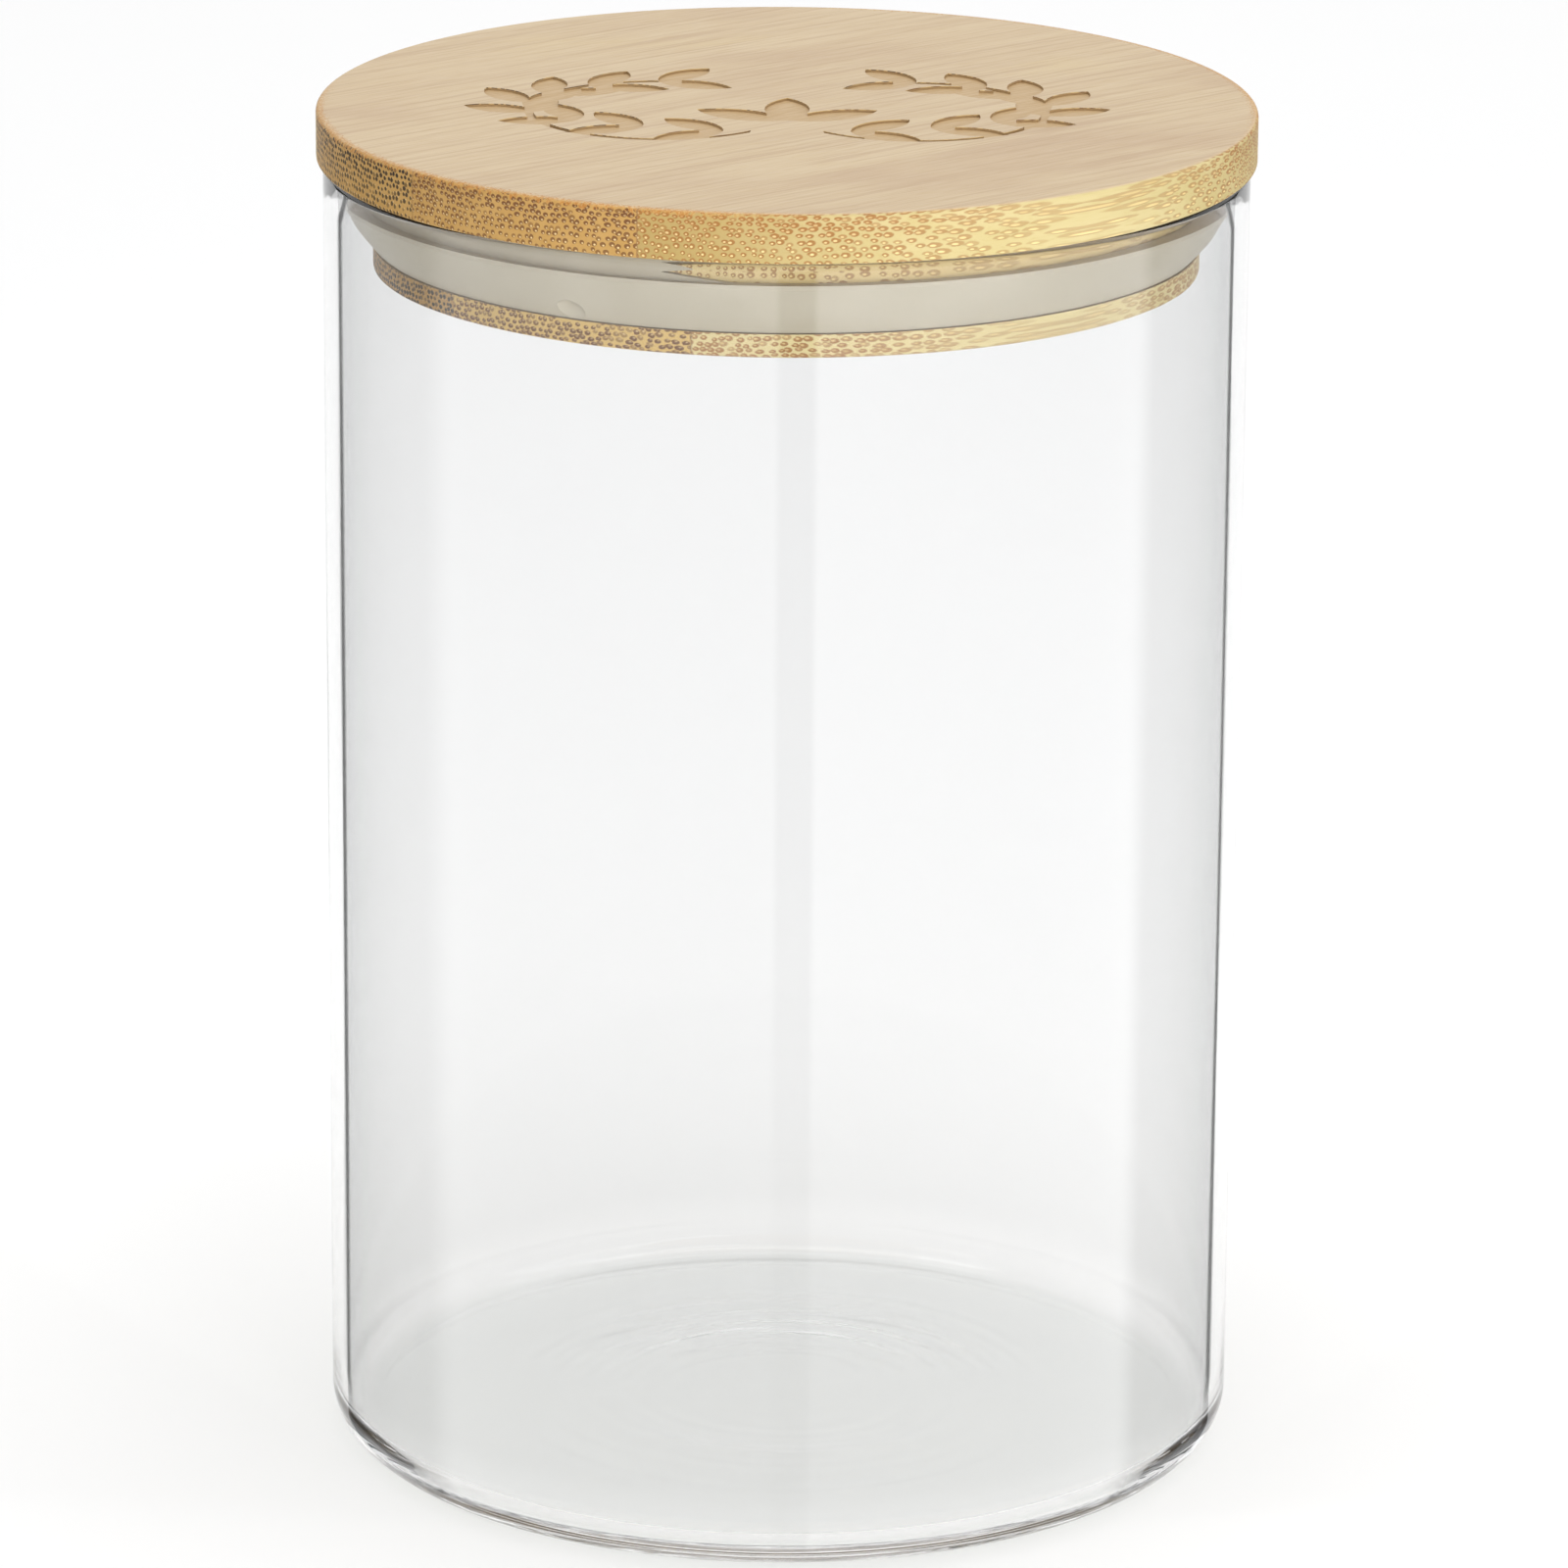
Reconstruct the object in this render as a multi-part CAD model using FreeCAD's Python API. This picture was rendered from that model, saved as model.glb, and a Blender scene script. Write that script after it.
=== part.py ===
"""A straight-sided glass canister with a two-ply bamboo lid and a silicone seal.

Millimetres, +Z up. The origin is the centre of the foot on the surface the canister stands on.
Every round piece is a profile of (radius, height) points turned about the Z axis.
"""

import FreeCAD, Part

import math
import os

from FreeCAD import Rotation, Vector

# Overall size
CANISTER_HEIGHT = 150.0
GLASS_RADIUS = 50.0

# Glass jar: a drawn cylinder, fire-polished at the rim and pressed in at the base
GLASS_WALL = 1.8
RIM_HEIGHT = 144.6
HEEL_RADIUS = 5.0
FLOOR_THICKNESS = 2.6
FLOOR_CORNER_RADIUS = 3.4
FOOT_INNER_RADIUS = 29.0
PUSH_UP = 0.5
PUSH_UP_SHOULDER = 12.0
SHOULDER_BLEND = 0.15

# Lid: a flange that rests on the rim, a neck, a seal groove and a lip, cut from a two-ply board
FLANGE_RADIUS = 50.7
FLANGE_UNDERSIDE = 144.65
FLANGE_TOP_ROUND = 0.5
FLANGE_LOWER_ROUND = 0.3
NECK_RADIUS = 46.2
GROOVE_FLOOR_RADIUS = 42.6
GROOVE_TOP = 141.2
LIP_RADIUS = 44.7
LIP_TOP = 135.95
LIP_BOTTOM = 133.4
LIP_ROUND = 0.4
PLY_JOINT = 0.5 * (CANISTER_HEIGHT + LIP_BOTTOM)

# Bamboo strips glued edge to edge in each ply
GRAIN_ANGLE = 39.7
STRIP_WIDTH = 27.4
STRIPS_PER_PLY = 4

# Silicone seal: a ring in the groove whose skirt flares out to the glass
SEAL_BORE_GAP = 0.1
SEAL_AXIAL_GAP = 0.1
SEAL_GLASS_GAP = 0.15
SEAL_NECK_GAP = 0.15
SEAL_ROOT_INSET = 0.2
SEAL_SKIRT_BULGE = 0.3
SEAL_TIP_LOW = 141.45
SEAL_TIP_HIGH = 141.9
SEAL_TOP_INNER = 141.75

# The seal's inner edge stands folded up against the neck over part of the way round
FOLD_THICKNESS = 0.5
FOLD_ROOT_OVERLAP = 0.2
FOLD_TOP = FLANGE_UNDERSIDE - 0.15
FOLD_START = 178.0
FOLD_SWEEP = 93.0
FOLD_WEDGE_APEX = 254.1
FOLD_WEDGE_APEX_HEIGHT = 142.6
FOLD_WEDGE_HALF_ANGLE = 6.5
FOLD_WEDGE_LENGTH = 24.0
FOLD_WEDGE_CLEARANCE = 10.0

# A small nick in the skirt's lower edge
NICK_ANGLE = 241.2
NICK_HEIGHT = 137.1
NICK_DEPTH = 0.45
NICK_BALL_RADIUS = 3.0

# Engraved wreath on the lid's top
ENGRAVE_DEPTH = 0.3
ENGRAVE_CLEARANCE = 1.0
WREATH_HALF_WIDTH = 28.0
WREATH_HALF_DEPTH = 13.0
WREATH_FIRST_ANGLE = 14.0
WREATH_LAST_ANGLE = 150.0
WREATH_LEAVES = 8
LEAF_LENGTH = 8.6
LEAF_WIDTH = 3.9
LEAF_SPREAD = 36.0
LEAF_WIDEST_AT = 0.45
SPRIG_LEAF_LENGTH = 11.0
SPRIG_LEAF_WIDTH = 4.8
SPRIG_BASE = -7.5
SPRIG_HEADINGS = (28.0, 90.0, 152.0)
STEM_WIDTH = 1.0
STEM_LEAD = 6.0

Z_AXIS = Vector(0, 0, 1)
ORIGIN = Vector(0, 0, 0)


def polar(radius, angle_deg, height=0.0):
    """A point given by its distance from the axis, its angle from +X and its height."""
    angle = math.radians(angle_deg)
    return Vector(radius * math.cos(angle), radius * math.sin(angle), height)


def profile_point(radius, height):
    return Vector(radius, 0, height)


def line(start, end):
    return Part.LineSegment(start, end).toShape()


def arc(start, middle, end):
    return Part.Arc(start, middle, end).toShape()


def arc_middle(start, centre, end):
    """The point half way along the shorter arc from start to end about centre."""
    middle = (start - centre) + (end - centre)
    middle.normalize()
    return centre + middle * (start - centre).Length


def quarter_arc(start, centre, end):
    return arc(start, arc_middle(start, centre, end), end)


def eased_edge(start, centre, end):
    """A small sanded-over edge: the same quarter arc, as a spline."""
    return Part.Arc(start, arc_middle(start, centre, end), end).toBSpline().toShape()


def chain(*pieces):
    """Edges for a closed outline. A bare point is a corner, and an edge keeps its own shape."""
    edges = []
    ends = []
    for piece in pieces:
        if isinstance(piece, Vector):
            ends.append((piece, piece))
        else:
            ends.append((piece.firstVertex().Point, piece.lastVertex().Point))
    for index, piece in enumerate(pieces):
        if not isinstance(piece, Vector):
            edges.append(piece)
        leave = ends[index][1]
        arrive = ends[(index + 1) % len(pieces)][0]
        if (arrive - leave).Length > 1e-6:
            edges.append(line(leave, arrive))
    return edges


def turned(edges, sweep=360.0):
    face = Part.Face(Part.Wire(Part.__sortEdges__(edges)))
    return face.revolve(ORIGIN, Z_AXIS, sweep)


def shoulder_arcs(level, outwards):
    """The eased step between the pushed-up middle of the base and the ring round it at this level."""
    p = profile_point
    start = FOOT_INNER_RADIUS - PUSH_UP_SHOULDER
    middle = FOOT_INNER_RADIUS - 0.5 * PUSH_UP_SHOULDER
    upper = (
        p(start, level + PUSH_UP),
        p(0.5 * (start + middle), level + (1.0 - SHOULDER_BLEND) * PUSH_UP),
        p(middle, level + 0.5 * PUSH_UP),
    )
    lower = (
        p(middle, level + 0.5 * PUSH_UP),
        p(0.5 * (middle + FOOT_INNER_RADIUS), level + SHOULDER_BLEND * PUSH_UP),
        p(FOOT_INNER_RADIUS, level),
    )
    if outwards:
        return arc(*upper), arc(*lower)
    return arc(*reversed(lower)), arc(*reversed(upper))


def make_glass_jar():
    """The wall and a base of even thickness, pushed up in the middle."""
    p = profile_point
    inner = GLASS_RADIUS - GLASS_WALL
    rim = 0.5 * GLASS_WALL
    rim_centre = RIM_HEIGHT - rim
    corner = inner - FLOOR_CORNER_RADIUS
    corner_height = FLOOR_THICKNESS + FLOOR_CORNER_RADIUS
    foot = GLASS_RADIUS - HEEL_RADIUS
    outline = chain(
        p(0, PUSH_UP),
        *shoulder_arcs(0, outwards=True),
        quarter_arc(p(foot, 0), p(foot, HEEL_RADIUS), p(GLASS_RADIUS, HEEL_RADIUS)),
        arc(p(GLASS_RADIUS, rim_centre), p(GLASS_RADIUS - rim, RIM_HEIGHT), p(inner, rim_centre)),
        quarter_arc(p(inner, corner_height), p(corner, corner_height), p(corner, FLOOR_THICKNESS)),
        *shoulder_arcs(FLOOR_THICKNESS, outwards=False),
        p(0, FLOOR_THICKNESS + PUSH_UP),
    )
    return turned(outline)


def make_upper_ply():
    """The flange and the part of the neck above the glue line, not yet cut into strips."""
    p = profile_point
    top_round = FLANGE_RADIUS - FLANGE_TOP_ROUND
    lower_round = FLANGE_RADIUS - FLANGE_LOWER_ROUND
    lower_height = FLANGE_UNDERSIDE + FLANGE_LOWER_ROUND
    upper_height = CANISTER_HEIGHT - FLANGE_TOP_ROUND
    outline = chain(
        p(0, PLY_JOINT),
        p(NECK_RADIUS, PLY_JOINT),
        p(NECK_RADIUS, FLANGE_UNDERSIDE),
        eased_edge(
            p(lower_round, FLANGE_UNDERSIDE),
            p(lower_round, lower_height),
            p(FLANGE_RADIUS, lower_height),
        ),
        eased_edge(
            p(FLANGE_RADIUS, upper_height),
            p(top_round, upper_height),
            p(top_round, CANISTER_HEIGHT),
        ),
        p(0, CANISTER_HEIGHT),
    )
    return turned(outline)


def make_lower_ply():
    """The lip, the seal groove and the foot of the neck, not yet cut into strips."""
    p = profile_point
    outline = chain(
        p(0, LIP_BOTTOM),
        eased_edge(
            p(LIP_RADIUS - LIP_ROUND, LIP_BOTTOM),
            p(LIP_RADIUS - LIP_ROUND, LIP_BOTTOM + LIP_ROUND),
            p(LIP_RADIUS, LIP_BOTTOM + LIP_ROUND),
        ),
        p(LIP_RADIUS, LIP_TOP),
        p(GROOVE_FLOOR_RADIUS, LIP_TOP),
        p(GROOVE_FLOOR_RADIUS, GROOVE_TOP),
        p(NECK_RADIUS, GROOVE_TOP),
        p(NECK_RADIUS, PLY_JOINT),
        p(0, PLY_JOINT),
    )
    return turned(outline)


def leaf_face(base, heading_deg, length, width):
    """A pointed leaf from two arcs, lying flat at the depth of the engraving."""
    along = polar(1.0, heading_deg)
    across = polar(1.0, heading_deg + 90.0)
    tip = base + along * length
    bulge_at = base + along * (LEAF_WIDEST_AT * length)
    half = 0.5 * width
    sides = [
        arc(base, bulge_at + across * half, tip),
        arc(tip, bulge_at - across * half, base),
    ]
    return Part.Face(Part.Wire(sides))


def wreath_stem(side):
    """A narrow curved band along one branch of the wreath."""
    half = 0.5 * STEM_WIDTH
    middle = 0.5 * (WREATH_FIRST_ANGLE + WREATH_LAST_ANGLE)
    steps = (WREATH_FIRST_ANGLE - STEM_LEAD, middle, WREATH_LAST_ANGLE)
    rows = []
    for offset in (-half, half):
        rows.append([wreath_point(side, angle, offset) for angle in steps])
    outer, inner = rows
    edges = [arc(*outer), line(outer[2], inner[2]), arc(*reversed(inner)), line(inner[0], outer[0])]
    return Part.Face(Part.Wire(edges))


def wreath_point(side, angle_deg, offset=0.0):
    angle = math.radians(angle_deg)
    half_width = WREATH_HALF_WIDTH + offset
    half_depth = WREATH_HALF_DEPTH + offset
    floor = CANISTER_HEIGHT - ENGRAVE_DEPTH
    return Vector(side * half_width * math.sin(angle), -half_depth * math.cos(angle), floor)


def wreath_heading(side, angle_deg):
    ahead = wreath_point(side, angle_deg + 1.0) - wreath_point(side, angle_deg - 1.0)
    return math.degrees(math.atan2(ahead.y, ahead.x))


def engraving_faces():
    """A plain laurel wreath, open at the far side, round an upright three-leaf sprig."""
    faces = []
    step = (WREATH_LAST_ANGLE - WREATH_FIRST_ANGLE) / (WREATH_LEAVES - 1)
    for side in (-1, 1):
        faces.append(wreath_stem(side))
        for index in range(WREATH_LEAVES):
            angle = WREATH_FIRST_ANGLE + index * step
            base = wreath_point(side, angle)
            heading = wreath_heading(side, angle)
            for turn in (-LEAF_SPREAD, LEAF_SPREAD):
                faces.append(leaf_face(base, heading + turn, LEAF_LENGTH, LEAF_WIDTH))
    foot = Vector(0, SPRIG_BASE, CANISTER_HEIGHT - ENGRAVE_DEPTH)
    for heading in SPRIG_HEADINGS:
        faces.append(leaf_face(foot, heading, SPRIG_LEAF_LENGTH, SPRIG_LEAF_WIDTH))
    return faces


def engrave(ply):
    clear_of_top = Vector(0, 0, ENGRAVE_DEPTH + ENGRAVE_CLEARANCE)
    tools = [face.extrude(clear_of_top) for face in engraving_faces()]
    return ply.cut(tools[0].multiFuse(tools[1:]))


def cut_into_strips(ply):
    """Slices a round ply along the grain. The outer strips run out to the edge of the lid."""
    reach = 2.0 * FLANGE_RADIUS
    across_grain = Rotation(Z_AXIS, GRAIN_ANGLE)
    strips = []
    for index in range(STRIPS_PER_PLY):
        low = (index - 0.5 * STRIPS_PER_PLY) * STRIP_WIDTH
        slab = Part.makeBox(2.0 * reach, STRIP_WIDTH, reach, Vector(-reach, low, 0.5 * reach))
        slab.Placement = FreeCAD.Placement(ORIGIN, across_grain)
        strips.append(ply.common(slab).Solids[0])
    return strips


def make_seal_ring():
    p = profile_point
    bore = GROOVE_FLOOR_RADIUS + SEAL_BORE_GAP
    tip = GLASS_RADIUS - GLASS_WALL - SEAL_GLASS_GAP
    neck_side = NECK_RADIUS + SEAL_NECK_GAP
    root = p(LIP_RADIUS - SEAL_ROOT_INSET, LIP_TOP + SEAL_AXIAL_GAP)
    tip_low = p(tip, SEAL_TIP_LOW)
    outward = Vector(tip_low.z - root.z, 0, root.x - tip_low.x)
    outward.normalize()
    middle = (root + tip_low) * 0.5 + outward * SEAL_SKIRT_BULGE
    outline = chain(
        p(bore, LIP_TOP + SEAL_AXIAL_GAP),
        arc(root, middle, tip_low),
        p(tip, SEAL_TIP_HIGH),
        p(neck_side, SEAL_TOP_INNER),
        p(neck_side, GROOVE_TOP - SEAL_AXIAL_GAP),
        p(bore, GROOVE_TOP - SEAL_AXIAL_GAP),
    )
    return turned(outline)


def make_seal_fold():
    """The part of the seal's inner edge that stands up against the neck, with a pointed end."""
    p = profile_point
    inside = NECK_RADIUS + SEAL_NECK_GAP
    outside = inside + FOLD_THICKNESS
    low = SEAL_TOP_INNER - FOLD_ROOT_OVERLAP
    outline = chain(p(inside, low), p(outside, low), p(outside, FOLD_TOP), p(inside, FOLD_TOP))
    band = turned(outline, FOLD_SWEEP)
    band.rotate(ORIGIN, Z_AXIS, FOLD_START)
    apex = polar(inside, FOLD_WEDGE_APEX, FOLD_WEDGE_APEX_HEIGHT)
    along = polar(1.0, FOLD_WEDGE_APEX + 90.0)
    outward = polar(1.0, FOLD_WEDGE_APEX)
    half_mouth = FOLD_WEDGE_LENGTH * math.tan(math.radians(FOLD_WEDGE_HALF_ANGLE))
    far = apex + along * FOLD_WEDGE_LENGTH
    inwards = outward * -FOLD_WEDGE_CLEARANCE
    start = apex + inwards
    corners = [
        start,
        far + inwards + Z_AXIS * half_mouth,
        far + inwards - Z_AXIS * half_mouth,
        start,
    ]
    wedge = Part.Face(Part.makePolygon(corners)).extrude(inwards * -2.0)
    return band.cut(wedge)


def make_silicone_seal():
    seal = make_seal_ring().fuse(make_seal_fold()).removeSplitter()
    slope = math.atan2(SEAL_TIP_LOW - LIP_TOP, GLASS_RADIUS - GLASS_WALL - LIP_RADIUS)
    stand_off = NICK_BALL_RADIUS - NICK_DEPTH
    skirt_radius = LIP_RADIUS + (NICK_HEIGHT - LIP_TOP) / math.tan(slope)
    ball_centre = polar(
        skirt_radius + stand_off * math.sin(slope),
        NICK_ANGLE,
        NICK_HEIGHT - stand_off * math.cos(slope),
    )
    ball = Part.makeSphere(NICK_BALL_RADIUS, ball_centre)
    return seal.cut(ball)


def write(name, shape):
    solids = shape.Solids
    if len(solids) != 1 or not solids[0].isValid():
        raise ValueError("%s is not one valid solid" % name)
    solid = solids[0]
    solid.exportStep("parts/%s.step" % name)
    print("%-20s volume %9.1f mm3" % (name, solid.Volume))


def main():
    os.makedirs("parts", exist_ok=True)
    write("glass_jar", make_glass_jar())
    write("silicone_seal", make_silicone_seal())
    for number, strip in enumerate(cut_into_strips(engrave(make_upper_ply())), start=1):
        write("lid_top_strip_%d" % number, strip)
    for number, strip in enumerate(cut_into_strips(make_lower_ply()), start=1):
        write("lid_plug_strip_%d" % number, strip)


main()
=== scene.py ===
"""Looks for the food canister: clear glass jar, silicone seal and glued bamboo lid.

Lengths in the helpers are millimetres in the row frame; meshes are written in metres.
"""

import math

import bpy
import numpy as np
from mathutils import Matrix, Vector


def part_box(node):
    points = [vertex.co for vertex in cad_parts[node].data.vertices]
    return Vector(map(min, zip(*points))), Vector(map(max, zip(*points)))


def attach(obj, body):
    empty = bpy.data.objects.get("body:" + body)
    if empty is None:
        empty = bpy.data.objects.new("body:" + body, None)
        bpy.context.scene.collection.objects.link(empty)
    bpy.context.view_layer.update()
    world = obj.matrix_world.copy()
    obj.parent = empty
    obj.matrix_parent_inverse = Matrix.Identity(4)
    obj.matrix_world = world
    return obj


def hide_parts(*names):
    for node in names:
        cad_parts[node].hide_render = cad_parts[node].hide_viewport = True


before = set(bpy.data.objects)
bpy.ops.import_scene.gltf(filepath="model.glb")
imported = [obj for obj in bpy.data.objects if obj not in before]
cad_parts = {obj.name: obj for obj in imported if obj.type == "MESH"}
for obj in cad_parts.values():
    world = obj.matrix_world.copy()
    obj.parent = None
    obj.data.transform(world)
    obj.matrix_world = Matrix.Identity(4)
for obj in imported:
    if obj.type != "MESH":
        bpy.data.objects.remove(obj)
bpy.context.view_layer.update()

MM = 0.001

# Glass jar, the same section as the CAD part
JAR_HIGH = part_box("glass_jar")[1]
GLASS_RADIUS = JAR_HIGH.x / MM
RIM_HEIGHT = JAR_HIGH.z / MM
GLASS_WALL = 1.8
HEEL_RADIUS = 5.0
FLOOR_THICKNESS = 2.6
FLOOR_CORNER_RADIUS = 3.4
FOOT_INNER_RADIUS = 29.0
PUSH_UP = 0.5
PUSH_UP_SHOULDER = 12.0
GLASS_SEGMENTS = 384
GLASS_IOR = 1.47
PRESS_RING_HEIGHT, PRESS_RING_PITCH = 0.020, 3.6
FINE_RING_HEIGHT, FINE_RING_PITCH = 0.009, 2.1
WALL_TINT = (0.915, 0.917, 0.918)
BASE_TINT = (0.972, 0.972, 0.973)
# The facing values between which the painted dark line (painted shade) beside each edge of the wall rises
# and falls
PAINTED_WALL_LINE = (0.2632, 0.2664, 0.2684, 0.2710)

# Bamboo board
LID_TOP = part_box("lid_top_strip_2")[1].z / MM
LID_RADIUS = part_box("lid_top_strip_4")[1].y / MM
PLY_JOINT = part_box("lid_top_strip_2")[0].z / MM
PLY_THICKNESS = LID_TOP - PLY_JOINT
ROW_SPACING = 0.9
ROW_CROWDING = 0.36
GRAIN_ANGLE = math.radians(39.7)
STRIP_WIDTH = 27.4
NECK_TO_FLANGE = (46.0, 48.0)
ENGRAVING_REACH = (40.0, 42.0)

# Stage: millimetres, but the camera's place is in metres
FLOOR_LEVEL = -0.1
CARD_LEVEL = 0.05
STAGE_HALF = 6000.0
WHITE_FROM, WHITE_TO = 450.0, 1400.0
LIGHT_BOUNCES = 32
CAMERA_PLACE = (0.0, -0.947634, 0.363535)
CAMERA_LENS = 206.64
CAMERA_RIGHT = (0.99997636, 0.00185236, 0.00662204)
CAMERA_AHEAD = (0.000166, 0.956237, -0.292594)

# Reflection cards: where on the wall, to the side of the axis, the image of each edge starts and ends
LEFT_CARD_STARTS = (-38.2, -34.6)
GAP_STARTS = (-1.3, -0.3)
GAP_ENDS = (2.7, 3.7)
RIGHT_CARD_ENDS = (36.4, 39.0)
# How far from the wall the gap opens, and where the cards fade into the white surroundings
GAP_OPENS = (60.0, 260.0)
CARDS_FADE = (900.0, 5500.0)
DARK_STUDIO, LEFT_CARD, RIGHT_CARD, FILLED_GAP = 0.1, 1.5, 2.0, 1.2

# ---------------------------------------------------------------- meshes


def mesh_object(name, vertices, faces, materials, face_materials=None):
    mesh = bpy.data.meshes.new(name)
    mesh.from_pydata([Vector(v) * MM for v in vertices], [], faces)
    for material in materials:
        mesh.materials.append(material)
    if face_materials is not None:
        mesh.polygons.foreach_set("material_index", face_materials)
    mesh.polygons.foreach_set("use_smooth", [True] * len(mesh.polygons))
    mesh.update()
    obj = bpy.data.objects.new(name, mesh)
    bpy.context.scene.collection.objects.link(obj)
    return obj


def profile_arc(centre, radius, start_deg, end_deg, steps):
    """Points (radius, height) along an arc, both ends included."""
    points = []
    for angle in np.linspace(math.radians(start_deg), math.radians(end_deg), steps + 1):
        points.append((centre[0] + radius * math.cos(angle), centre[1] + radius * math.sin(angle)))
    return points


def profile_line(start, end, steps):
    """Points along a straight run, without its first point."""
    share = np.linspace(0.0, 1.0, steps + 1)[1:]
    return [(start[0] + (end[0] - start[0]) * t, start[1] + (end[1] - start[1]) * t) for t in share]


def smooth_step(value, low, high):
    t = min(1.0, max(0.0, (value - low) / (high - low)))
    return t * t * (3.0 - 2.0 * t)


def lathe(name, rings, segments, displace, materials):
    """Turns (radius, height, zone) rings about Z. The first and the last ring are single points on the
    axis. displace(radius, height, zone, angle) gives a small (radius, height) change."""
    vertices = [(0.0, 0.0, rings[0][1])]
    rows = [[0]]
    for radius, height, zone in rings[1:-1]:
        row = []
        for step in range(segments):
            angle = 2.0 * math.pi * step / segments
            out, up = displace(radius, height, zone, angle)
            row.append(len(vertices))
            moved = radius + out
            vertices.append((moved * math.cos(angle), moved * math.sin(angle), height + up))
        rows.append(row)
    rows.append([len(vertices)])
    vertices.append((0.0, 0.0, rings[-1][1]))
    faces = []
    zones = []
    for index in range(len(rows) - 1):
        near, far = rows[index], rows[index + 1]
        for step in range(segments):
            after = (step + 1) % segments
            if len(near) == 1:
                face = (near[0], far[after], far[step])
            elif len(far) == 1:
                face = (near[step], near[after], far[0])
            else:
                face = (near[step], near[after], far[after], far[step])
            faces.append(face)
            zones.append(rings[index + 1][2] if len(near) == 1 else rings[index][2])
    return mesh_object(name, vertices, faces, materials, zones)


# ---------------------------------------------------------------- shader graphs


class Graph:
    """A material's node tree, with each operation as a short call that returns its output socket."""

    def __init__(self, name):
        self.material = bpy.data.materials.new(name)
        self.material.use_nodes = True
        self.tree = self.material.node_tree
        self.tree.nodes.clear()
        self.output = self.tree.nodes.new("ShaderNodeOutputMaterial")

    def put(self, socket, value):
        if isinstance(value, bpy.types.NodeSocket):
            self.tree.links.new(value, socket)
        elif isinstance(value, (tuple, list)) and socket.type == "RGBA" and len(value) == 3:
            socket.default_value = (*value, 1.0)
        else:
            socket.default_value = value

    def node(self, kind, inputs=None, **settings):
        made = self.tree.nodes.new("ShaderNode" + kind)
        for key, value in settings.items():
            setattr(made, key, value)
        for key, value in (inputs or {}).items():
            self.put(made.inputs[key], value)
        return made

    def math(self, operation, *values, clamp=False):
        made = self.node("Math", operation=operation, use_clamp=clamp)
        for index, value in enumerate(values):
            self.put(made.inputs[index], value)
        return made.outputs[0]

    def vector(self, operation, *values):
        made = self.node("VectorMath", operation=operation)
        for index, value in enumerate(values):
            self.put(made.inputs[index], value)
        return made.outputs["Value" if operation in ("LENGTH", "DISTANCE") else "Vector"]

    def combine(self, x, y, z):
        return self.node("CombineXYZ", {"X": x, "Y": y, "Z": z}).outputs[0]

    def separate(self, vector):
        made = self.node("SeparateXYZ", {"Vector": vector})
        return made.outputs[0], made.outputs[1], made.outputs[2]

    def step(self, value, low, high, at_low=0.0, at_high=1.0):
        made = self.node("MapRange", interpolation_type="SMOOTHSTEP")
        for index, entry in enumerate((value, low, high, at_low, at_high)):
            self.put(made.inputs[index], entry)
        return made.outputs[0]

    def noise(self, vector, scale, detail=2.0, roughness=0.5):
        inputs = {"Vector": vector, "Scale": scale, "Detail": detail, "Roughness": roughness}
        return self.node("TexNoise", inputs).outputs[0]

    def mix(self, share, first, second):
        made = self.node("Mix", data_type="RGBA")
        self.put(made.inputs[0], share)
        self.put(made.inputs[6], first)
        self.put(made.inputs[7], second)
        return made.outputs[2]

    def bump(self, height, strength, distance):
        made = self.node("Bump", {"Height": height, "Strength": strength, "Distance": distance})
        return made.outputs[0]

    def finish(self, shader):
        self.put(self.output.inputs["Surface"], shader)
        return self.material


def millimetres(graph):
    """The point on the piece at rest, in millimetres."""
    coordinates = graph.node("TexCoord").outputs["Object"]
    return graph.vector("MULTIPLY", coordinates, (1000.0, 1000.0, 1000.0))


# ---------------------------------------------------------------- glass


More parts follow.
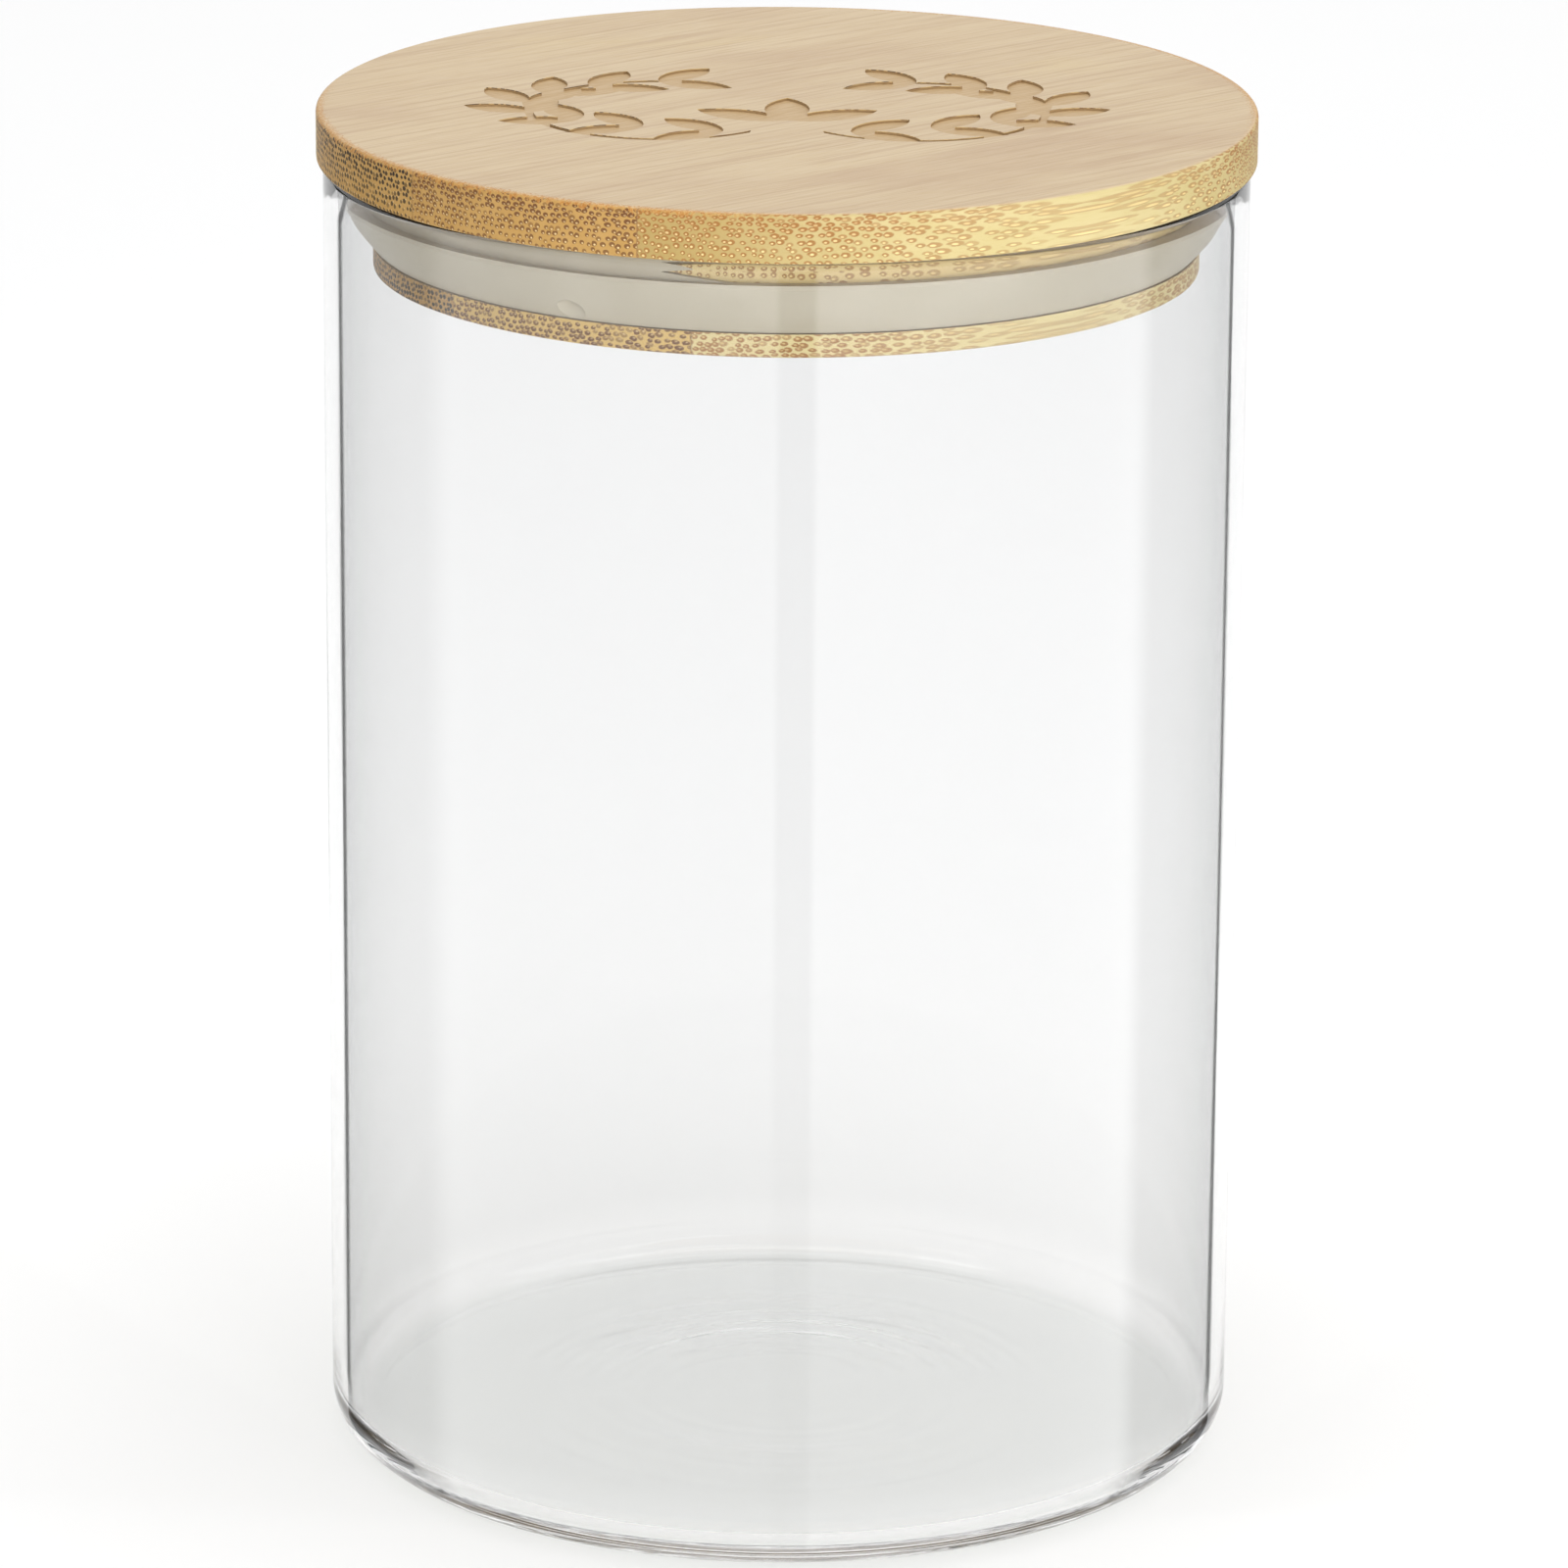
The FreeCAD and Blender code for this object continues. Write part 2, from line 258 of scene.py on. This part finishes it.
def glass_material(name, grazing_shade_tint, grazing_shade_low, grazing_shade_high, painted_line_range=None):
    """Clear glass, tinted a little more in the upright wall than in the base. Its colour deepens as painted
    shade where the sight line grazes the surface. The last argument is the facing range that draws a
    painted dark line, painted shade, beside each edge of the wall."""
    g = Graph(name)
    point = millimetres(g)
    facing = g.node("LayerWeight", {"Blend": 0.5}).outputs["Facing"]
    drawn = g.noise(g.vector("MULTIPLY", point, (1.0, 1.0, 0.05)), 0.09, detail=3.0)
    # Painted shade: the colour darkens towards the grazing tint where the sight line grazes the surface.
    edge = g.step(facing, grazing_shade_low, grazing_shade_high)
    edge = g.math("MULTIPLY", edge, g.step(drawn, 0.2, 0.8, 0.85, 1.0))
    upright = g.step(g.separate(point)[2], HEEL_RADIUS, 2.0 * HEEL_RADIUS)
    colour = g.mix(edge, g.mix(upright, BASE_TINT, WALL_TINT), grazing_shade_tint)
    waves = g.noise(g.vector("MULTIPLY", point, (1.0, 1.0, 0.12)), 0.12, detail=1.0)
    normal = g.bump(waves, 0.02, 0.001)
    smear = g.noise(point, 0.35, detail=4.0, roughness=0.65)
    roughness = g.step(smear, 0.55, 0.8, 0.0, 0.02)
    shader = g.node(
        "BsdfPrincipled",
        {
            "Base Color": colour,
            "Roughness": roughness,
            "IOR": GLASS_IOR,
            "Transmission Weight": 1.0,
            "Normal": normal,
        },
    ).outputs[0]
    # Painted shade: a near-black matt surface is mixed in on the inside of the upright wall, over a narrow
    # facing range, to draw a dark line beside each edge of the wall.
    if painted_line_range is not None:
        rise_from, rise_to, fall_from, fall_to = painted_line_range
        rise = g.step(facing, rise_from, rise_to)
        fall = g.step(facing, fall_from, fall_to, 0.75, 0.0)
        painted_line = g.math("MULTIPLY", rise, fall)
        painted_line = g.math("MULTIPLY", painted_line, g.node("NewGeometry").outputs["Backfacing"])
        painted_line = g.math("MULTIPLY", painted_line, upright)
        dark = g.node("BsdfDiffuse", {"Color": (0.06, 0.062, 0.061)})
        shader = g.node("MixShader", {0: painted_line, 1: shader, 2: dark.outputs[0]}).outputs[0]
    path = g.node("LightPath")
    passing = g.math("MAXIMUM", path.outputs["Is Shadow Ray"], path.outputs["Is Diffuse Ray"])
    through = g.node("BsdfTransparent", {"Color": (0.94, 0.945, 0.94, 1.0)})
    both = g.node("MixShader", {0: passing, 1: shader, 2: through.outputs[0]})
    return g.finish(both.outputs[0])


OUTER, INNER = 0, 1


def base_profile(level):
    """One side of the base from the middle outwards: level, then an eased step down to the foot."""
    start = FOOT_INNER_RADIUS - PUSH_UP_SHOULDER
    points = [(0.0, level + PUSH_UP)] + profile_line((0.0, level + PUSH_UP), (start, level + PUSH_UP), 34)
    for share in np.linspace(0.0, 1.0, 41)[1:]:
        drop = PUSH_UP * smooth_step(share, 0.0, 1.0)
        points.append((start + PUSH_UP_SHOULDER * share, level + PUSH_UP - drop))
    return points


def jar_rings():
    """The jar's section from the middle of the underside, up the outside, over the rim, down the inside."""
    inner = GLASS_RADIUS - GLASS_WALL
    rim = 0.5 * GLASS_WALL
    rim_centre = (GLASS_RADIUS - rim, RIM_HEIGHT - rim)
    corner = inner - FLOOR_CORNER_RADIUS
    foot = GLASS_RADIUS - HEEL_RADIUS
    outside = base_profile(0.0)
    outside += profile_line((FOOT_INNER_RADIUS, 0.0), (foot, 0.0), 20)
    outside += profile_arc((foot, HEEL_RADIUS), HEEL_RADIUS, -90, 0, 28)[1:]
    outside += profile_line((GLASS_RADIUS, HEEL_RADIUS), (GLASS_RADIUS, rim_centre[1]), 40)
    outside += profile_arc(rim_centre, rim, 0, 90, 14)[1:]
    inside = profile_arc(rim_centre, rim, 90, 180, 14)[1:]
    corner_height = FLOOR_THICKNESS + FLOOR_CORNER_RADIUS
    inside += profile_line((inner, rim_centre[1]), (inner, corner_height), 40)
    inside += profile_arc((corner, corner_height), FLOOR_CORNER_RADIUS, 0, -90, 24)[1:]
    inside += profile_line((corner, FLOOR_THICKNESS), (FOOT_INNER_RADIUS, FLOOR_THICKNESS), 40)
    inside += base_profile(FLOOR_THICKNESS)[-2::-1]
    return [(*p, OUTER) for p in outside] + [(*p, INNER) for p in inside]


def jar_waves(radius, height, zone, angle):
    """Faint press rings on the inside of the base, uneven round the middle."""
    if zone == OUTER:
        return 0.0, 0.0
    if height > 0.5 * RIM_HEIGHT or radius > GLASS_RADIUS - GLASS_WALL - 0.5 * FLOOR_CORNER_RADIUS:
        return 0.0, 0.0
    window = smooth_step(radius, 8.0, 14.0) * (1.0 - smooth_step(radius, 28.0, 36.0))
    lobe = 0.4 + 0.6 * smooth_step(math.sin(angle + 0.15), -0.3, 0.9)
    coarse = 2.0 * math.pi * radius / PRESS_RING_PITCH + 0.7 * math.sin(2.0 * angle)
    fine = 2.0 * math.pi * radius / FINE_RING_PITCH + 1.3 * math.sin(3.0 * angle + 1.0)
    ripple = PRESS_RING_HEIGHT * math.sin(coarse) + FINE_RING_HEIGHT * math.sin(fine)
    return 0.0, ripple * window * lobe


# The grazing tints are painted shade; the inside also gets the painted dark line beside each edge of the
# wall.
glass_outside = glass_material("glass_outside", (0.86, 0.88, 0.87), 0.85, 0.99)
glass_inside = glass_material("glass_inside", (0.76, 0.78, 0.775), 0.45, 0.97, PAINTED_WALL_LINE)
jar = lathe("jar_glass", jar_rings(), GLASS_SEGMENTS, jar_waves, [glass_outside, glass_inside])
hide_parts("glass_jar")
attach(jar, "jar")


# ---------------------------------------------------------------- silicone


def silicone_material():
    g = Graph("silicone_satin")
    point = millimetres(g)
    cloud = g.noise(point, 0.08, detail=3.0)
    dust = g.noise(point, 1.6, detail=4.0, roughness=0.7)
    colour = g.mix(g.step(cloud, 0.3, 0.7), (0.415, 0.37, 0.285), (0.455, 0.41, 0.325))
    colour = g.mix(g.step(dust, 0.62, 0.8, 0.0, 0.2), colour, (0.52, 0.48, 0.41))
    roughness = g.step(dust, 0.3, 0.7, 0.42, 0.50)
    normal = g.bump(g.noise(point, 1.2, detail=1.0), 0.02, 0.0001)
    shader = g.node(
        "BsdfPrincipled",
        {
            "Base Color": colour,
            "Roughness": roughness,
            "IOR": 1.41,
            "Normal": normal,
        },
    )
    return g.finish(shader.outputs[0])


# ---------------------------------------------------------------- bamboo


def grain_streaks(g, along, across, height, per_mm, stretch, seed, detail, roughness):
    """Noise drawn out along the grain: per_mm streaks across it, each about 1 / stretch mm long."""
    drawn = g.combine(
        g.math("MULTIPLY", along, stretch),
        g.math("MULTIPLY_ADD", across, per_mm, seed),
        g.math("MULTIPLY", height, per_mm),
    )
    return g.noise(drawn, 1.0, detail=detail, roughness=roughness)


def fibre_bundles(g, along, across, height, skin, seed, look):
    """Masks of the brown fibre caps and of the pale vessels inside them. The bundles run along the grain,
    in staggered rows that crowd towards the ply's outer skin."""
    slow = g.combine(g.math("MULTIPLY", along, 0.03), g.math("MULTIPLY", across, 0.12), seed)
    drift = g.math("MULTIPLY_ADD", g.noise(slow, 1.0, detail=2.0), 1.6, seed * 1.7)
    sway = g.math("MULTIPLY_ADD", g.noise(slow, 2.3, detail=1.0), 1.0, seed)
    spread = g.math("MULTIPLY_ADD", skin, -ROW_CROWDING, ROW_SPACING)
    spread = g.math("LOGARITHM", spread, math.e)
    row = g.math("MULTIPLY_ADD", spread, -PLY_THICKNESS / ROW_CROWDING, drift)
    column = g.math("DIVIDE", g.math("ADD", across, sway), look["pitch"])
    staggered = g.combine(g.math("MULTIPLY_ADD", row, 0.5, column), row, 0.0)
    cells = {"Vector": staggered, "Scale": 1.0, "Randomness": look["scatter"]}
    voronoi = g.node("TexVoronoi", cells, voronoi_dimensions="2D")
    identity, other, _ = g.separate(voronoi.outputs["Color"])
    off_x, off_y, _ = g.separate(g.vector("SUBTRACT", staggered, voronoi.outputs["Position"]))
    off_x = g.math("MULTIPLY_ADD", off_y, -0.5, off_x)
    size = g.step(identity, 0.0, 1.0, 0.8, 1.15)
    size = g.math("MULTIPLY", size, g.step(skin, 0.2, 1.0, 0.85, 1.15))
    place = g.vector("DIVIDE", g.combine(off_x, off_y, 0.0), g.combine(size, size, 1.0))
    rough_edge = g.noise(g.vector("MULTIPLY", staggered, (9.0, 9.0, 1.0)), 1.0)
    to_cap = g.math("MULTIPLY_ADD", rough_edge, 0.14, g.vector("DISTANCE", place, (*look["cap_at"], 0.0)))
    to_vessel = g.vector("DISTANCE", place, (*look["vessel_at"], 0.0))
    opening = g.vector("DISTANCE", place, (*look["gap_at"], 0.0))
    cap = g.step(to_cap, look["cap_radius"], look["cap_radius"] + 0.12, 1.0, 0.0)
    cap = g.math("MULTIPLY", cap, g.step(opening, 0.10, 0.22, 0.25, 1.0))
    cap = g.math("MULTIPLY", cap, g.step(other, 0.0, 0.35, 0.6, 1.0))
    vessel = g.step(to_vessel, look["vessel_radius"] - 0.04, look["vessel_radius"] + 0.05, 1.0, 0.0)
    vessel = g.math("MULTIPLY", vessel, g.step(skin, 0.45, 1.0, 1.0, 0.35))
    return cap, vessel


def bamboo_material(name, seed, look):
    """Bamboo board: dots of cut fibre bundles on end grain, long streaks on the faces."""
    g = Graph(name)
    point = millimetres(g)
    turned = g.node("VectorRotate", {"Vector": point, "Angle": -GRAIN_ANGLE}, rotation_type="Z_AXIS")
    along, across, height = g.separate(turned.outputs[0])
    from_joint = g.math("ABSOLUTE", g.math("SUBTRACT", height, PLY_JOINT))
    skin = g.math("DIVIDE", from_joint, PLY_THICKNESS, clamp=True)
    cap, vessel = fibre_bundles(g, along, across, height, skin, seed, look)

    # Which way the surface faces, and how squarely the turned edge cuts the grain
    normal_z = g.separate(g.node("NewGeometry").outputs["Normal"])[2]
    flat = g.step(g.math("ABSOLUTE", normal_z), 0.75, 0.95)
    radius = g.vector("LENGTH", g.vector("MULTIPLY", point, (1.0, 1.0, 0.0)))
    end_grain = g.math("DIVIDE", g.math("ABSOLUTE", along), g.math("MAXIMUM", radius, 1.0))

    tone = grain_streaks(g, along, across, height, 0.35, 0.02, seed, 4.0, 0.5)
    streak = grain_streaks(g, along, across, height, 1.1, 0.03, seed, 4.0, 0.6)
    thread = grain_streaks(g, along, across, height, 3.4, 0.05, seed, 3.0, 0.55)
    pore = grain_streaks(g, along, across, height, 5.5, 0.3, seed, 2.0, 0.5)
    patch = g.noise(g.vector("MULTIPLY_ADD", point, (0.022, 0.05, 0.03), (seed, 0.0, 0.0)), 1.0, detail=2.0)

    # The sanded faces: pale board with fine pinkish threads
    light, dark, line, blush, gold = FACE_TONES
    face = g.mix(g.step(tone, 0.3, 0.7), light, dark)
    face = g.mix(g.step(patch, 0.52, 0.72, 0.0, 0.75), face, blush)
    face = g.mix(g.step(patch, 0.30, 0.44, 0.55, 0.0), face, gold)
    face = g.mix(g.step(streak, 0.50, 0.62, 0.0, 0.55), face, line)
    face = g.mix(g.step(thread, 0.55, 0.66, 0.0, 0.6), face, line)
    face = g.mix(g.step(pore, 0.60, 0.75, 0.0, 0.3), face, line)

    # The turned edge: ground tissue with the cut bundles in it
    ground = g.mix(g.step(tone, 0.3, 0.7), look["ground"][0], look["ground"][1])
    ground = g.mix(g.step(pore, 0.5, 0.75, 0.0, 0.3), ground, look["ground"][2])
    if "deepens" in look:
        browned = g.step(across, *look["deepens"], 0.0, 0.87)
        browned = g.math("MULTIPLY", browned, g.step(radius, *NECK_TO_FLANGE))
        ground = g.mix(browned, ground, BROWNED)
    ground = g.mix(g.step(radius, *NECK_TO_FLANGE, 0.75, 0.0), ground, look["neck"])
    darkness = look["darkness"]
    strength = g.math("MULTIPLY", cap, g.step(skin, 0.3, 1.0, 0.8 * darkness, darkness))
    strength = g.math("MULTIPLY", strength, g.step(end_grain, 0.1, 0.6, 0.45, 1.0))
    edge = g.mix(strength, ground, look["cap"])
    edge = g.mix(g.math("MULTIPLY", vessel, 0.9), edge, look["vessel"])
    colour = g.mix(flat, edge, face)

    # Torn orange fibres along the upper corner where the cut is across the grain
    ragged = g.noise(g.vector("MULTIPLY", point, (1.0, 1.0, 0.4)), 3.2, detail=3.0, roughness=0.65)
    from_edge = g.math("SUBTRACT", LID_RADIUS, radius)
    corner = g.math("MULTIPLY_ADD", from_edge, 0.55, g.math("SUBTRACT", LID_TOP, height))
    torn = g.step(g.math("MULTIPLY_ADD", ragged, -2.2, corner), -0.86, -0.62, 0.85, 0.0)
    torn = g.math("MULTIPLY", torn, g.step(end_grain, 0.55, 0.85))
    torn = g.math("MULTIPLY", torn, g.step(height, PLY_JOINT, LID_TOP - 2.0))
    fibre = g.mix(g.step(ragged, 0.42, 0.62), TORN_FIBRE[0], TORN_FIBRE[1])
    colour = g.mix(torn, colour, fibre)

    # Glue lines between the strips
    within = g.math("FRACT", g.math("DIVIDE", across, STRIP_WIDTH))
    seam = g.math("ABSOLUTE", g.math("SUBTRACT", within, 0.5))
    seam = g.math("MULTIPLY_ADD", pore, 0.12 / STRIP_WIDTH, seam)
    seam = g.step(seam, 0.5 - 0.08 / STRIP_WIDTH, 0.5 + 0.04 / STRIP_WIDTH)
    seam = g.math("MULTIPLY", seam, g.step(flat, 0.0, 1.0, 0.6, 0.12))
    colour = g.mix(seam, colour, (0.20, 0.10, 0.035))

    # The engraving has scorched floors, and darker sides whose colour is part scorch and part painted shade
    # of the recess
    below_face = g.step(height, LID_TOP - 0.10, LID_TOP - 0.03, 1.0, 0.0)
    cut = g.math("MULTIPLY", g.step(radius, *ENGRAVING_REACH, 1.0, 0.0), below_face)
    cut = g.math("MULTIPLY", cut, g.step(height, LID_TOP - 1.0, LID_TOP - 0.8))
    scorch = g.mix(g.step(pore, 0.35, 0.7), (0.47, 0.325, 0.165), (0.42, 0.28, 0.135))
    colour = g.mix(cut, colour, g.mix(flat, (0.34, 0.22, 0.105), scorch))

    relief = g.math("MULTIPLY_ADD", cap, -0.5, g.math("MULTIPLY", pore, 0.4))
    relief = g.math("MULTIPLY_ADD", vessel, 0.5, relief)
    relief = g.math("MULTIPLY", relief, g.step(flat, 0.0, 1.0, 1.0, 0.15))
    normal = g.bump(relief, 0.5, 0.00015)
    roughness = g.step(pore, 0.3, 0.7, 0.42, 0.58)
    shader = g.node(
        "BsdfPrincipled",
        {
            "Base Color": colour,
            "Roughness": roughness,
            "IOR": 1.5,
            "Specular IOR Level": 0.4,
            "Normal": normal,
        },
    )
    return g.finish(shader.outputs[0])


FACE_TONES = (
    (0.55, 0.43, 0.27),
    (0.51, 0.385, 0.235),
    (0.415, 0.285, 0.17),
    (0.455, 0.325, 0.20),
    (0.545, 0.42, 0.235),
)
TORN_FIBRE = ((0.55, 0.33, 0.11), (0.40, 0.17, 0.03))
GOLDEN = ((0.50, 0.415, 0.19), (0.54, 0.455, 0.23), (0.44, 0.33, 0.12))
PALE_GOLDEN = ((0.58, 0.48, 0.235), (0.62, 0.52, 0.27), (0.52, 0.40, 0.17))
TAN = ((0.405, 0.23, 0.058), (0.44, 0.26, 0.075), (0.35, 0.185, 0.04))
PALE_TAN = ((0.55, 0.37, 0.12), (0.59, 0.40, 0.145), (0.48, 0.30, 0.085))
BROWNED = (0.34, 0.225, 0.06)
NECK_TONE = (0.70, 0.54, 0.26)


def bundle_shape(cap_at, cap_radius, vessel_at, vessel_radius, gap_at):
    """One kind of cut fibre bundle, in units of the spacing between bundles."""
    return dict(
        cap_at=cap_at,
        cap_radius=cap_radius,
        vessel_at=vessel_at,
        vessel_radius=vessel_radius,
        gap_at=gap_at,
    )


def strip_look(shape, ground, pitch, scatter, darkness, cap, vessel):
    return dict(
        shape,
        ground=ground,
        pitch=pitch,
        scatter=scatter,
        darkness=darkness,
        cap=cap,
        vessel=vessel,
    )


RING = bundle_shape((0.0, 0.02), 0.41, (0.03, -0.04), 0.15, (0.34, -0.24))
HOOD = bundle_shape((0.03, 0.05), 0.39, (-0.05, -0.10), 0.13, (-0.32, -0.30))
SPOT = bundle_shape((0.03, 0.0), 0.35, (-0.30, 0.28), 0.10, (0.6, 0.6))
STRIP_LOOKS = {
    1: strip_look(RING, GOLDEN, 0.68, 0.5, 0.9, (0.27, 0.10, 0.014), (0.74, 0.58, 0.27)),
    2: strip_look(HOOD, TAN, 0.76, 0.5, 1.0, (0.13, 0.045, 0.008), (0.72, 0.54, 0.26)),
    3: strip_look(SPOT, TAN, 0.68, 0.45, 1.0, (0.014, 0.006, 0.002), (0.68, 0.50, 0.25)),
    4: strip_look(RING, GOLDEN, 0.72, 0.5, 0.9, (0.24, 0.095, 0.018), (0.68, 0.52, 0.25)),
}
STRIP_LOOKS[1]["deepens"] = (-54.0, -28.0)
PLUG_GROUNDS = {1: PALE_GOLDEN, 2: PALE_TAN, 3: TAN, 4: PALE_GOLDEN}

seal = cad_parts["silicone_seal"]
seal.data.materials.clear()
seal.data.materials.append(silicone_material())
for ply, ply_seed in (("top", 3.0), ("plug", 11.0)):
    for number, look in STRIP_LOOKS.items():
        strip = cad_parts["lid_%s_strip_%d" % (ply, number)]
        strip.data.materials.clear()
        look = dict(look, neck=NECK_TONE)
        if ply == "plug":
            look = dict(look, ground=PLUG_GROUNDS[number], neck=PLUG_GROUNDS[number][0])
            look.pop("deepens", None)
        bamboo = bamboo_material("bamboo_%s_%d" % (ply, number), ply_seed + 5.3 * number, look)
        strip.data.materials.append(bamboo)


# ---------------------------------------------------------------- stage, light and camera


def floor_material():
    g = Graph("pale_floor")
    point = millimetres(g)
    colour = g.mix(g.noise(point, 0.004, detail=3.0), (0.91, 0.91, 0.91), (0.935, 0.935, 0.935))
    colour = g.mix(g.step(g.separate(point)[1], 350.0, 1100.0), colour, (0.98, 0.98, 0.98))
    normal = g.bump(g.noise(point, 0.8, detail=3.0), 0.05, 0.0002)
    matt = g.node(
        "BsdfPrincipled",
        {"Base Color": colour, "Roughness": 0.8, "Specular IOR Level": 0.1, "Normal": normal},
    )
    # Far away the floor goes over into the white surroundings, except as a light on matt surfaces
    distance = g.vector("LENGTH", g.vector("MULTIPLY", point, (1.0, 1.0, 0.0)))
    seen = g.math("SUBTRACT", 1.0, g.node("LightPath").outputs["Is Diffuse Ray"])
    far = g.math("MULTIPLY", g.step(distance, WHITE_FROM, WHITE_TO), seen)
    white = g.node("Emission", {"Color": (1.0, 1.0, 1.0), "Strength": 1.0})
    both = g.node("MixShader", {0: far, 1: matt.outputs[0], 2: white.outputs[0]})
    return g.finish(both.outputs[0])


def rectangle_light(name, centre, target, width, height, power):
    data = bpy.data.lights.new(name, "AREA")
    data.shape = "RECTANGLE"
    data.size = width
    data.size_y = height
    data.energy = power
    lamp = bpy.data.objects.new(name, data)
    bpy.context.scene.collection.objects.link(lamp)
    lamp.location = centre
    lamp.rotation_mode = "QUATERNION"
    lamp.rotation_quaternion = (Vector(target) - Vector(centre)).to_track_quat("-Z", "Y")
    lamp.visible_camera = False
    return lamp


floor = mesh_object(
    "floor",
    [(x * STAGE_HALF, y * STAGE_HALF, FLOOR_LEVEL) for x, y in ((-1, -1), (1, -1), (1, 1), (-1, 1))],
    [(0, 1, 2, 3)],
    [floor_material()],
)


def studio_world():
    """White surroundings. As a light on matt surfaces they are weaker, and dimmer to the left."""
    world = bpy.data.worlds.new("studio")
    world.use_nodes = True
    tree = world.node_tree
    direction = tree.nodes.new("ShaderNodeTexCoord").outputs["Generated"]
    axes = tree.nodes.new("ShaderNodeSeparateXYZ")
    tree.links.new(direction, axes.inputs[0])
    ramp = tree.nodes.new("ShaderNodeMapRange")
    ramp.inputs["From Min"].default_value = -1.0
    ramp.inputs["To Min"].default_value = 0.38
    ramp.inputs["To Max"].default_value = 0.66
    tree.links.new(axes.outputs["X"], ramp.inputs["Value"])
    strength = tree.nodes.new("ShaderNodeMix")
    strength.inputs["A"].default_value = 1.0
    path = tree.nodes.new("ShaderNodeLightPath")
    tree.links.new(path.outputs["Is Diffuse Ray"], strength.inputs["Factor"])
    tree.links.new(ramp.outputs[0], strength.inputs["B"])
    tree.links.new(strength.outputs["Result"], tree.nodes["Background"].inputs["Strength"])
    tree.nodes["Background"].inputs["Color"].default_value = (1.0, 1.0, 1.0, 1.0)
    return world


bpy.context.scene.world = studio_world()

rectangle_light("overhead", (0.1, 0.1, 1.5), (0, 0.15, 0), 1.8, 1.8, 17.5)
FRONT_LIGHTS = (
    ("front_left", (-0.45, -1.15, 0.25), 4.5),
    ("front_right", (0.65, -1.1, 0.25), 10.0),
)
for name, place, power in FRONT_LIGHTS:
    front = rectangle_light(name, place, (0, 0, 0.1), 0.8, 0.5, power)
    front.visible_glossy = False
    front.visible_transmission = False


def reflected_heading(side, camera_place):
    """Where a level sight line goes after it meets the jar's wall this far to the side of the axis."""
    wall = Vector((side, -math.sqrt(GLASS_RADIUS**2 - side**2)))
    outward = wall.normalized()
    sight = (wall - camera_place).normalized()
    return wall, sight - outward * (2.0 * sight.dot(outward))


def card_radiance(side, reach):
    """Two bright soft cards in front with a narrow gap between them, and dark studio to either side. The
    gap fills in close to the jar, and far away everything fades into the white surroundings."""
    gap_start = smooth_step(side, *GAP_STARTS)
    gap_end = smooth_step(side, *GAP_ENDS)
    left = smooth_step(side, *LEFT_CARD_STARTS) * (1.0 - gap_start)
    right = gap_end * (1.0 - smooth_step(side, *RIGHT_CARD_ENDS))
    filled = gap_start * (1.0 - gap_end) * (1.0 - smooth_step(reach, *GAP_OPENS))
    cards = DARK_STUDIO + LEFT_CARD * left + RIGHT_CARD * right + FILLED_GAP * filled
    return cards + (1.0 - cards) * smooth_step(reach, *CARDS_FADE)


def reflection_cards():
    """A sheet on the floor in front that only reflections see."""
    camera_place = Vector((0.0, CAMERA_PLACE[1] / MM))
    near = (0.2, 60.0, 90.0, 120.0, 150.0, 180.0, 210.0, 260.0)
    reaches = near + (900.0, 1600.0, 2500.0, 3600.0, 5500.0)
    sides = np.linspace(-47.6, 47.6, 700)
    vertices = []
    strengths = []
    for side in sides:
        wall, heading = reflected_heading(side, camera_place)
        for reach in reaches:
            place = wall + heading * reach
            vertices.append((place.x, place.y, CARD_LEVEL))
            strengths.append(card_radiance(side, reach))
    faces = []
    for column in range(len(sides) - 1):
        for row in range(len(reaches) - 1):
            first = column * len(reaches) + row
            faces.append((first, first + 1, first + 1 + len(reaches), first + len(reaches)))
    g = Graph("card_glow")
    strength = g.node("Attribute", attribute_name="radiance").outputs["Fac"]
    glow = g.node("Emission", {"Color": (1, 1, 1), "Strength": strength})
    card = mesh_object("reflection_cards", vertices, faces, [g.finish(glow.outputs[0])])
    card.data.attributes.new("radiance", "FLOAT", "POINT").data.foreach_set("value", strengths)
    card.visible_camera = False
    card.visible_diffuse = False
    card.visible_transmission = False
    card.visible_volume_scatter = False
    card.visible_shadow = False


reflection_cards()

camera_data = bpy.data.cameras.new("camera")
camera_data.sensor_width = 36.0
camera_data.lens = CAMERA_LENS
camera_data.clip_start = 0.05
camera_data.clip_end = 50.0
camera = bpy.data.objects.new("camera", camera_data)
bpy.context.scene.collection.objects.link(camera)
right = Vector(CAMERA_RIGHT).normalized()
ahead = Vector(CAMERA_AHEAD).normalized()
up = right.cross(ahead).normalized()
right = ahead.cross(up)
camera.matrix_world = Matrix.Translation(CAMERA_PLACE) @ Matrix((right, up, -ahead)).transposed().to_4x4()
bpy.context.scene.camera = camera

bpy.context.scene.view_settings.view_transform = "Standard"
# Light crosses many glass surfaces in the heel before it leaves, and would be cut off as black
bpy.context.scene.cycles.max_bounces = LIGHT_BOUNCES
bpy.context.scene.cycles.glossy_bounces = LIGHT_BOUNCES
bpy.context.scene.cycles.transmission_bounces = LIGHT_BOUNCES
